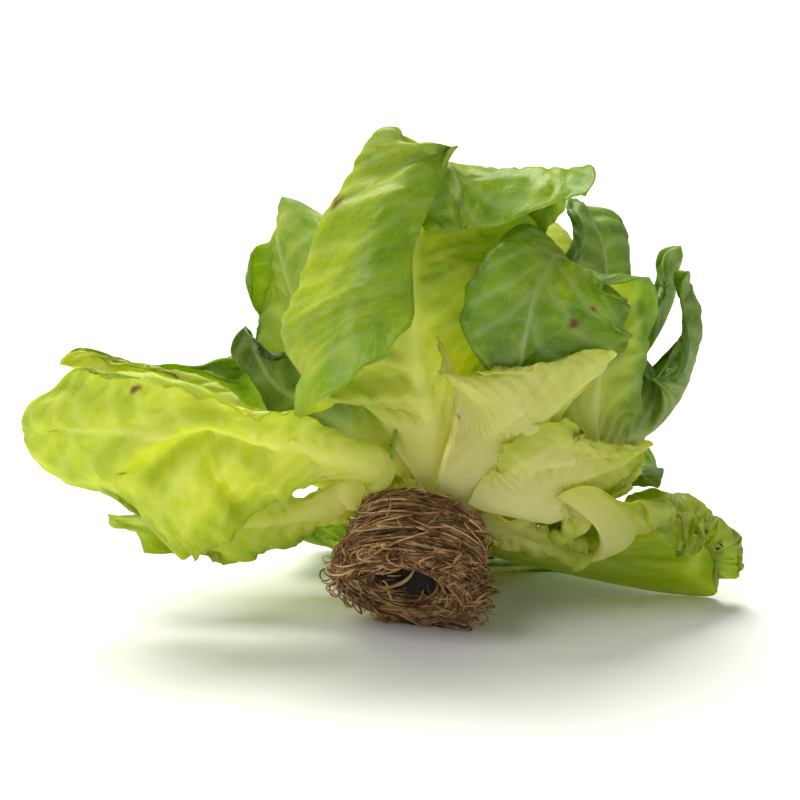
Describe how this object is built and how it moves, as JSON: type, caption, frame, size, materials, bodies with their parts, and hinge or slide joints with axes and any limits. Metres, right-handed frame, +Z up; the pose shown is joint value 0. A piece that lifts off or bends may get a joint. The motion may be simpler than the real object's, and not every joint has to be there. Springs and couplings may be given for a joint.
{
  "type": "head of lettuce",
  "caption": "Whole head of butterhead lettuce with its root ball, leaning back on its outer leaves on a surface; ruffled leaves round a closed heart.",
  "frame": {"origin": "middle of the head's footprint, on the surface it rests on", "axes": "+X along the long way, with the root ball facing the viewer; +Y away from the front; +Z up"},
  "size_m": [0.2922, 0.217, 0.2],
  "materials": {
    "leaf_green": "thin fresh outer leaf, yellow-green, satin with paler veins",
    "heart_green": "thin fresh heart leaf, pale yellow-green, satin",
    "stem_cream": "cut pale green-cream stem, smooth and moist",
    "root_brown": "coiled dry brown root fibres, rough"
  },
  "bodies": {
    "root": {"front_leaf": "leaf_green", "front_right_leaf": "leaf_green", "front_pale_leaf": "leaf_green", "right_pale_leaf": "leaf_green", "right_drooping_leaf": "leaf_green", "right_cupped_leaf": "leaf_green", "right_back_leaf": "leaf_green", "upper_right_leaf": "leaf_green", "upper_left_leaf": "leaf_green", "left_inner_leaf": "leaf_green", "left_spread_leaf": "leaf_green", "left_tip_leaf": "leaf_green", "left_low_leaf": "leaf_green", "low_right_leaf": "leaf_green", "right_folded_leaf": "leaf_green", "back_floor_leaf": "leaf_green", "back_left_leaf": "leaf_green", "back_right_leaf": "leaf_green", "back_upright_leaf": "leaf_green", "heart_leaf_1": "heart_green", "heart_leaf_2": "heart_green", "heart_leaf_3": "heart_green", "heart_leaf_4": "heart_green", "heart_leaf_5": "heart_green", "heart_leaf_6": "heart_green", "heart_leaf_7": "heart_green", "heart_leaf_8": "heart_green", "root_ball": "root_brown", "stem": "stem_cream"}
  },
  "joints": []
}
